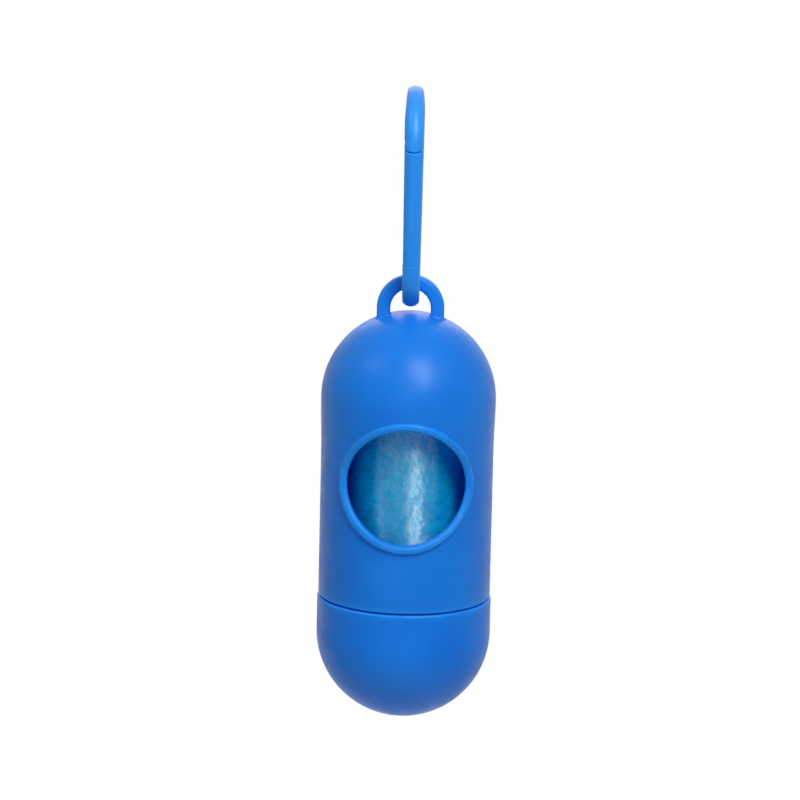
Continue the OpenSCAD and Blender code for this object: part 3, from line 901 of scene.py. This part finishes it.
def drawCap():
    radius, inner, bowl, rim = cap["radius"], cap["inner"], cap["bowlZ"], cap["rimZ"]
    big, small = cap["rimRadius"], cap["innerEdge"]
    profile = [(0, bowl - radius)] + circlePoints((0, bowl), radius, -90, 0, 44)[1:]
    profile += [(radius, z) for z in np.linspace(bowl, rim - big, 9)[1:]]
    profile += circlePoints((radius - big, rim - big), big, 0, 90, 7)[1:]
    profile += circlePoints((inner + small, rim - small), small, 90, 180, 4)
    profile += [(inner, z) for z in np.linspace(rim - small, bowl, 9)[1:]]
    profile += circlePoints((0, bowl), inner, 0, -90, 40)[1:-1] + [(0, bowl - inner)]
    return turn("capWall", profile, {"Steps": cap["steps"]})


capRidge = closeUp(runTree(drawMesh("capThread", [], []), threadRidge, capThread))
capShell = joinPieces("capShell", [drawCap(), capRidge])
markEdges(capShell)
settle(capShell, "cap", capPlastic, ["end_cap"])

# Hook: the frame with its nose, and the gate that swings on the pin
hookLow, hookHigh = cadCorners("carabiner_frame")
hook = {
    "footOuter": 9.5, "barDepth": 3.6, "crown": 2.35, "innerEdge": 1.0, "noseHalf": 2.2, "footHalf": 1.925,
    "narrowFrom": 5.0, "narrowHeight": 10.2, "topSteps": 110, "backSteps": 25, "footSteps": 80,
    "voxel": 0.15, "passes": 6,
}
hook["topOuter"] = hookHigh[2]
hook["topInner"] = hook["topOuter"] - hook["barDepth"]
hook["footInner"] = hook["footOuter"] - hook["barDepth"]
hook["lowest"] = hookLow[2] - 1
hook["footZ"] = hookLow[2] + hook["footOuter"]
lean = math.asin((hook["footOuter"] - hook["topOuter"]) / hook["footZ"])
hook["side"] = -hook["footZ"] * math.cos(lean)

gate = {
    "noseEnd": 0.85, "seamSlant": 0.18, "gap": 0.3, "play": 0.12, "lipDepth": 1.75, "tongueHeight": 1.8,
    "pinRise": 4.3, "knuckle": 1.75, "footGap": 0.2, "crownGap": 0.03, "lugRadius": 1.2, "lugFlat": 0.95,
    "lugHalf": 0.9, "lugSink": 1.1, "tongueSink": 1.2, "webDepth": 0.8, "channelHalf": 1.02,
    "channelHeight": 12.0, "pinX": 10.3, "pinHole": 0.55, "sideIn": 0.06, "cutIn": 7, "cutOut": 14,
    "cutHalf": 4, "cutReach": 4, "steps": 30, "voxel": 0.11, "passes": 4,
}
gate["gateTop"] = gate["noseEnd"] - gate["gap"]
gate["lip"] = hook["topOuter"] - gate["lipDepth"]
gate["web"] = hook["topOuter"] - gate["webDepth"]
gate["tongueEnd"] = gate["noseEnd"] + gate["tongueHeight"]
gate["pocketEnd"] = gate["tongueEnd"] + gate["gap"]
gate["tongueIn"] = hook["topInner"] + gate["play"]
gate["tongueOut"] = gate["lip"] - gate["play"]
gate["tongueHalf"] = hook["footHalf"] - gate["play"]
gate["pinY"] = gate["pinRise"] - hook["side"]
gate["gateEnd"] = gate["pinY"] - gate["knuckle"]
gate["shoulder"] = gate["gateEnd"] - gate["footGap"]
gate["crownEnd"] = gate["shoulder"] + gate["crownGap"]
gate["channelEnd"] = gate["pinY"] + gate["channelHeight"]


def gatePoint(out, up, side):
    return (side, -(out * math.cos(lean) + up * math.sin(lean)), up * math.cos(lean) - out * math.sin(lean))


def halfWidth(z):
    low, start = hook["lowest"], hook["narrowFrom"]
    if z < start:
        return hook["footHalf"] + (hook["noseHalf"] - hook["footHalf"]) * (z - low) / (start - low)
    return hook["noseHalf"] * math.sqrt(max(1 - ((z - start) / hook["narrowHeight"]) ** 2, 0))


# The bar's section as (depth from the inner face, side that it hangs on or 0, width there)
def barSection():
    depth, crown, edge = hook["barDepth"], hook["crown"], hook["innerEdge"]
    centre = depth - crown
    arc, quarter = np.radians(np.linspace(-90, 90, 37)), np.radians(np.linspace(90, 0, 8))
    section = [(centre + crown * math.cos(a), 0, crown * math.sin(a)) for a in arc]
    corner = [(edge - edge * math.cos(a), edge * (math.sin(a) - 1)) for a in quarter]
    section += [(deep, 1, inset) for deep, inset in corner]
    section += [(deep, -1, -inset) for deep, inset in reversed(corner)]
    return section


def sweepBar(name, stations, inset=0.0):
    section = barSection()
    points, rings = [], []
    for (y, z), (outY, outZ), inner in stations:
        ring = []
        for deep, side, width in section:
            py, pz = y + (inner + deep) * outY, z + (inner + deep) * outZ
            half = halfWidth(pz) - inset
            ring.append(len(points))
            points.append((side * half + width if side else min(max(width, -half), half), py, pz))
        rings.append(ring)
    return closeUp(drawMesh(name, points, skinRings(rings, False)), 0.0001)


def bowStations(zCentre, inner, fromDeg, toDeg, steps):
    angles = np.radians(np.linspace(fromDeg, toDeg, steps + 1))
    return [((0, zCentre), (math.cos(a), math.sin(a)), inner) for a in angles]


def gateStations(fromUp, toUp, steps):
    ups = np.linspace(fromUp, toUp, steps + 1)
    out = (-math.cos(lean), -math.sin(lean))
    return [((-up * math.sin(lean), up * math.cos(lean)), out, hook["topInner"]) for up in ups]


def gateBlock(name, low, high):
    corners = [(x, y, s) for x in (low[0], high[0]) for y in (low[1], high[1]) for s in (low[2], high[2])]
    faces = [[0, 1, 3, 2], [4, 6, 7, 5], [0, 4, 5, 1], [2, 3, 7, 6], [0, 2, 6, 4], [1, 5, 7, 3]]
    return closeUp(drawMesh(name, [gatePoint(*c) for c in corners], faces), 0.0001)


# A flat outline in the gate's plane, as thick as twice its half width
def gatePlate(name, outline, half):
    count = len(outline)
    points = [gatePoint(x, y, side) for side in (-half, half) for x, y in outline]
    faces = [list(range(count)), list(range(2 * count - 1, count - 1, -1))]
    faces += [[i, i + count, (i + 1) % count + count, (i + 1) % count] for i in range(count)]
    return closeUp(drawMesh(name, points, faces), 0.0001)


# The seam between nose and gate runs a little lower at its outer end
def slantedSeam(height):
    middle = hook["topOuter"] - gate["lipDepth"] / 2
    return [(x, height - gate["seamSlant"] * (x - middle)) for x in (gate["cutOut"], gate["cutIn"])]


def drawHookFrame():
    tilt = math.degrees(lean)
    stations = bowStations(0, hook["topInner"], 180 + tilt, -tilt, hook["topSteps"])
    back = (math.cos(lean), -math.sin(lean))
    for step in np.linspace(0, hook["side"], hook["backSteps"] + 1)[1:]:
        stations.append(((-step * math.sin(lean), -step * math.cos(lean)), back, hook["topInner"]))
    stations += bowStations(hook["footZ"], hook["footInner"], -tilt, tilt - 180, hook["footSteps"])[1:]
    stations += gateStations(-hook["side"], gate["shoulder"], 3)[1:]
    bar = sweepBar("hookBar", stations)
    near, far, wide, below = gate["cutIn"], gate["cutOut"], gate["cutHalf"], -2
    nose = gatePlate("noseCut", [(near, below), (far, below)] + slantedSeam(gate["noseEnd"]), wide)
    pocket = gateBlock("pocketCut", (near, below, -wide), (gate["lip"], gate["pocketEnd"], wide))
    cutAway(bar, [nose, pocket])
    x, y, radius = gate["pinX"], gate["pinY"], gate["lugRadius"]
    slope = math.degrees(math.asin(gate["lugFlat"] / radius))
    outline = circlePoints((x, y), radius, 0, slope, 10) + circlePoints((x, y), radius, 180 - slope, 180, 10)
    outline += [(side, gate["gateEnd"] - gate["lugSink"]) for side in (x - radius, x + radius)]
    lug = gatePlate("hookLug", outline, gate["lugHalf"])
    return fuse(joinPieces("hookFrame", [bar, lug]), hook["voxel"], hook["passes"])


def drawHookGate():
    x, y = gate["pinX"], gate["pinY"]
    near, far, wide, reach = gate["cutIn"], gate["cutOut"], gate["cutHalf"], gate["cutReach"]
    along = gateStations(gate["crownEnd"], gate["gateTop"] + 1, gate["steps"])
    bar = sweepBar("gateBar", along, gate["sideIn"])
    knuckle = [(x - reach, y), (x - reach, y - reach), (x, y - reach)]
    knuckle += circlePoints((x, y), gate["knuckle"], -90, -180, 16)
    half, floor = gate["channelHalf"], gate["gateEnd"] - 1
    cutters = [
        gatePlate("seamCut", [(near, reach), (far, reach)] + slantedSeam(gate["gateTop"]), wide),
        gatePlate("knuckleCut", knuckle, wide),
        gateBlock("channelCut", (near - 2, floor, -half), (gate["web"], gate["channelEnd"], half)),
        gatePlate("pinHoleCut", circlePoints((x, y), gate["pinHole"], 0, 360, 40)[:-1], wide),
    ]
    cutAway(bar, cutters)
    half, root = gate["tongueHalf"], gate["gateTop"] - gate["tongueSink"]
    tongue = gateBlock(
        "gateTongue", (gate["tongueIn"], root, -half), (gate["tongueOut"], gate["tongueEnd"], half))
    return fuse(joinPieces("hookGate", [bar, tongue]), gate["voxel"], gate["passes"])


hookFrame = drawHookFrame()
markEdges(hookFrame)
settle(hookFrame, "hook", hookPlastic, ["carabiner_frame"])
hookGate = drawHookGate()
markEdges(hookGate)
settle(hookGate, "gate", hookPlastic, ["carabiner_gate"])

pin = {"radius": 0.5, "half": hook["footHalf"] - 0.1, "edge": 0.12, "steps": 40}


def drawPin():
    radius, half, edge = pin["radius"], pin["half"], pin["edge"]
    profile = [(0, -half), (radius * 0.5, -half)]
    profile += circlePoints((radius - edge, edge - half), edge, -90, 0, 4)
    profile += [(radius, z) for z in np.linspace(edge - half, half - edge, 5)[1:-1]]
    profile += circlePoints((radius - edge, half - edge), edge, 0, 90, 4) + [(radius * 0.5, half), (0, half)]
    piece = turn("hingePin", profile, {"Steps": pin["steps"]})
    centre = Matrix.Translation(gatePoint(gate["pinX"], gate["pinY"], 0))
    piece.data.transform(centre @ Matrix.Rotation(math.pi / 2, 4, "Y"))
    return piece


hingePin = drawPin()
markEdges(hingePin)
settle(hingePin, "hook", springSteel, ["gate_pin"])

spring = {
    "thick": 0.3, "half": 0.9, "edge": 0.06, "endEdge": 0.012, "bend": 0.3, "seat": 0.02, "tipGap": 0.1,
    "footRows": 16, "bendRows": 8, "leafRows": 36,
}
spring["outer"] = gate["web"] - spring["seat"]
spring["footStart"] = gate["pinX"] - gate["lugFlat"]
spring["turn"] = spring["bend"] + spring["thick"] / 2
spring["footEnd"] = spring["outer"] - spring["thick"] / 2 - spring["turn"]
spring["level"] = gate["pinY"] + gate["lugFlat"] + gate["play"] + spring["thick"] / 2


# A leaf along the channel's floor, with its foot on the hook's lug
def drawSpring():
    half, edge, deep = spring["half"], spring["edge"], spring["thick"] / 2
    start, end, level, turned = spring["footStart"], spring["footEnd"], spring["level"], spring["turn"]
    top = gate["channelEnd"] - spring["tipGap"]
    path = [(start, level), (start + edge, level)]
    path += [(x, level) for x in np.linspace(start + edge, end, spring["footRows"])[1:]]
    path += circlePoints((end, level + turned), turned, -90, 0, spring["bendRows"])[1:]
    path += [(end + turned, y) for y in np.linspace(level + turned, top - edge, spring["leafRows"])[1:]]
    path += [(end + turned, top)]
    points, rings = [], []
    for i, (x, y) in enumerate(path):
        before, after = path[max(i - 1, 0)], path[min(i + 1, len(path) - 1)]
        slope = math.atan2(after[1] - before[1], after[0] - before[0])
        corner = spring["endEdge"] if i in (0, len(path) - 1) else edge
        ring = []
        for cx, cy, quarter in ((1, 1, 0), (-1, 1, 90), (-1, -1, 180), (1, -1, 270)):
            centre = (cx * (deep - edge), cy * (half - edge))
            for px, py in circlePoints(centre, corner, quarter, quarter + 90, 3):
                ring.append(len(points))
                points.append(gatePoint(x - px * math.sin(slope), y + px * math.cos(slope), py))
        rings.append(ring)
    return closeUp(drawMesh("leafSpring", points, skinRings(rings, False)), 0.0001)


leafSpring = drawSpring()
markEdges(leafSpring)
ends = [gatePoint(spring[key], spring["level"], 0) for key in ("footStart", "footEnd")]
foot = [[value * mm for value in end] for end in ends]
settle(leafSpring, "hook", springSteel, ["gate_spring"], ("gate", *foot))

# Roll of bags: the wound pack, the first bag round it and the card core
rollLow, rollHigh = cadCorners("bag_roll")
roll = {
    "z": rollLow[2], "length": rollHigh[2] - rollLow[2], "packRadius": 13.14, "bore": 6.62, "coreRadius": 6.5,
    "coreBore": 5.5, "coreInset": 0.5, "wrapInset": 0.4, "wrapThick": 0.1, "packEdge": 0.25, "coreEdge": 0.15,
}
leadingWrap = {
    "Inner Radius": 13.30, "Outer Radius": 13.53, "Start Angle": math.radians(60),
    "Turn": math.radians(430), "Columns": 216, "Rows": 150, "Edge Wave": 0.9, "Dent Depth": 0.13,
    "Dent Around": 0.13, "Dent Along": 0.55, "Seed": 3.0,
}
packDents = {"Steps": 160, "Dent Depth": 0.05, "Dent Around": 0.2, "Dent Along": 0.6, "Seed": 5.0}
coreDents = {"Steps": 96, "Dent Depth": 0.06, "Dent Around": 0.4, "Dent Along": 0.2, "Seed": 8.0}


def tubeProfile(inner, outer, low, high, edge, rows):
    profile = circlePoints((outer - edge, low + edge), edge, -90, 0, 3)
    profile += [(outer, z) for z in np.linspace(low + edge, high - edge, rows)[1:-1]]
    profile += circlePoints((outer - edge, high - edge), edge, 0, 90, 3)
    profile += [(r, high) for r in np.linspace(outer - edge, inner + edge, 6)[1:-1]]
    profile += circlePoints((inner + edge, high - edge), edge, 90, 180, 3)
    profile += [(inner, z) for z in np.linspace(high - edge, low + edge, 6)[1:-1]]
    profile += circlePoints((inner + edge, low + edge), edge, 180, 270, 3)
    profile += [(r, low) for r in np.linspace(inner + edge, outer - edge, 6)[1:]]
    return profile


low, high = roll["z"], roll["z"] + roll["length"]
packProfile = tubeProfile(roll["bore"], roll["packRadius"], low, high, roll["packEdge"], 60)
bagPack = turn("bagPack", packProfile, packDents)
markEdges(bagPack)
settle(bagPack, "bags", packFilm, ["bag_roll"])

leadingWrap["Base Height"] = low + roll["wrapInset"]
leadingWrap["Width"] = roll["length"] - 2 * roll["wrapInset"]
leadingBag = runTree(drawMesh("leadingBag", [], []), woundFilm, leadingWrap)
closeUp(leadingBag, 0.0001)
thicken = leadingBag.modifiers.new("thicken", "SOLIDIFY")
thicken.thickness = roll["wrapThick"]
thicken.offset = 0
bakeModifiers(leadingBag)
markEdges(leadingBag)
settle(leadingBag, "bags", wrapFilm, ["leading_bag"])

inset = roll["coreInset"]
coreEnds = (low + inset, high - inset)
coreProfile = tubeProfile(roll["coreBore"], roll["coreRadius"], *coreEnds, roll["coreEdge"], 12)
rollCore = turn("rollCore", coreProfile, coreDents)
markEdges(rollCore)
settle(rollCore, "core", coreCard, ["roll_core"])

# The sight's lengths are in metres, its shifts in pixels of a frame that wide
view = {
    "aim": (0, 0, -0.0595), "distance": 1.25, "azimuth": 0.45, "elevation": 12.4, "lean": 1.33,
    "pixelsPerMetre": 4374.0, "right": 8.5, "up": 2.5, "frame": 800, "sensor": 36.0, "clip": (0.05, 20.0),
}


# The unit vector from the middle towards a place in the room; azimuth 0 is the front
def wayTo(azimuth, elevation):
    a, e = math.radians(azimuth), math.radians(elevation)
    return Vector((math.sin(a) * math.cos(e), -math.cos(a) * math.cos(e), math.sin(e)))


camera = bpy.data.objects.new("camera", bpy.data.cameras.new("camera"))
bpy.context.scene.collection.objects.link(camera)
rise, around = math.radians(view["elevation"]), math.radians(view["azimuth"])
camera.location = Vector(view["aim"]) + view["distance"] * wayTo(view["azimuth"], view["elevation"])
turnUp = Matrix.Rotation(math.pi / 2 - rise, 4, "X") @ Matrix.Rotation(math.radians(view["lean"]), 4, "Z")
camera.rotation_euler = (Matrix.Rotation(around, 4, "Z") @ turnUp).to_euler()
camera.data.sensor_width = view["sensor"]
camera.data.lens = view["pixelsPerMetre"] * view["distance"] / view["frame"] * view["sensor"]
camera.data.shift_x = -view["right"] / view["frame"]
camera.data.shift_y = -view["up"] / view["frame"]
camera.data.clip_start, camera.data.clip_end = view["clip"]
bpy.context.scene.camera = camera
bpy.context.scene.view_settings.view_transform = "Standard"

# Each lamp: azimuth, elevation, distance, width and height, power, and whether it shows in reflections
lamps = {
    "rightBox": (22, 45, 0.75, (0.28, 0.4), 4.9, True), "leftBox": (-64, 45, 1.1, (0.35, 0.35), 1.9, True),
    "frontFill": (-12, 0, 1.5, (1.0, 1.0), 3.4, False), "backBox": (180, 28, 1.1, (0.8, 0.8), 3.0, True),
    "backFill": (176, 2, 1.5, (1.0, 1.0), 4.0, False),
}
lampsAim = Vector((0, 0, -0.075))
for name, (azimuth, elevation, distance, size, power, shine) in lamps.items():
    light = bpy.data.lights.new(name, "AREA")
    light.shape = "RECTANGLE"
    light.size, light.size_y = size
    light.energy = power
    holder = bpy.data.objects.new(name, light)
    holder.visible_glossy = shine
    bpy.context.scene.collection.objects.link(holder)
    toward = wayTo(azimuth, elevation)
    holder.location = lampsAim + toward * distance
    holder.rotation_euler = (-toward).to_track_quat("-Z", "Y").to_euler()

backdrop = {
    "ambient": 0.12, "frontShine": 0.2, "dimSpan": (-0.7, 0.1), "floorZ": -0.385, "floorRadius": 0.62,
    "floorColour": (0.86, 0.86, 0.87), "floorLift": 0.35, "floorFade": (0.4, 0.97), "floorSteps": 64,
}


# White all round, and dimmer in reflections towards the side of the camera
def buildWorld():
    world = bpy.data.worlds.new("whiteRoom")
    bpy.context.scene.world = world
    world.use_nodes = True
    tree = world.node_tree
    tree.nodes.clear()
    path = addNode(tree, "ShaderNodeLightPath").outputs
    place = addNode(tree, "ShaderNodeTexCoord").outputs["Generated"]
    toward = addNode(tree, "ShaderNodeSeparateXYZ", {0: place}).outputs["Y"]
    dim = mapRange(tree, toward, backdrop["dimSpan"], (backdrop["frontShine"], 1.0))
    mirrored = mathNode(tree, "MULTIPLY", path["Is Glossy Ray"], dim)
    seen = mathNode(tree, "MAXIMUM", path["Is Camera Ray"], mirrored)
    seen = mathNode(tree, "MAXIMUM", seen, path["Is Transmission Ray"])
    strength = mapRange(tree, seen, target=(backdrop["ambient"], 1.0))
    sky = addNode(tree, "ShaderNodeBackground", {"Color": (1, 1, 1, 1), "Strength": strength})
    addNode(tree, "ShaderNodeOutputWorld", {"Surface": sky.outputs[0]})
    tidyNodes(tree)


# A pale round floor that fades out into the white round it
def buildFloor():
    radius, z, steps = backdrop["floorRadius"], backdrop["floorZ"], backdrop["floorSteps"]
    points, faces = [(0, 0, z)], []
    for share in (0.25, 0.5, 0.75, 1.0):
        points += [(x, y, z) for x, y in circlePoints((0, 0), radius * share, 0, 360, steps)[:-1]]
    for k in range(steps):
        n = (k + 1) % steps
        faces.append([0, 1 + k, 1 + n])
        for base in (1, 1 + steps, 1 + 2 * steps):
            faces.append([base + k, base + steps + k, base + steps + n, base + n])
    floor = drawMesh("floor", points, faces)
    material = bpy.data.materials.new("paleFloor")
    material.use_nodes = True
    tree = material.node_tree
    tree.nodes.clear()
    diffuse = addNode(tree, "ShaderNodeBsdfDiffuse", {"Color": (*backdrop["floorColour"], 1)})
    path = addNode(tree, "ShaderNodeLightPath").outputs
    seen = mathNode(tree, "MAXIMUM", path["Is Camera Ray"], path["Is Glossy Ray"])
    lift = mathNode(tree, "MULTIPLY", seen, backdrop["floorLift"])
    glow = addNode(tree, "ShaderNodeEmission", {"Strength": lift})
    both = addNode(tree, "ShaderNodeAddShader", {0: diffuse.outputs[0], 1: glow.outputs[0]})
    coords = addNode(tree, "ShaderNodeTexCoord").outputs["Object"]
    flat = addNode(tree, "ShaderNodeVectorMath", {0: coords, 1: (1, 1, 0)}, operation="MULTIPLY")
    away = addNode(tree, "ShaderNodeVectorMath", {0: flat.outputs[0]}, operation="LENGTH").outputs["Value"]
    fade = mapRange(tree, away, [radius * share for share in backdrop["floorFade"]], smooth=True)
    clear = addNode(tree, "ShaderNodeBsdfTransparent")
    blend = addNode(tree, "ShaderNodeMixShader", {0: fade, 1: both.outputs[0], 2: clear.outputs[0]})
    addNode(tree, "ShaderNodeOutputMaterial", {"Surface": blend.outputs[0]})
    tidyNodes(tree)
    floor.data.materials.append(material)
    floor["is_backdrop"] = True


buildWorld()
buildFloor()
print("stage set")

low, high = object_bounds()
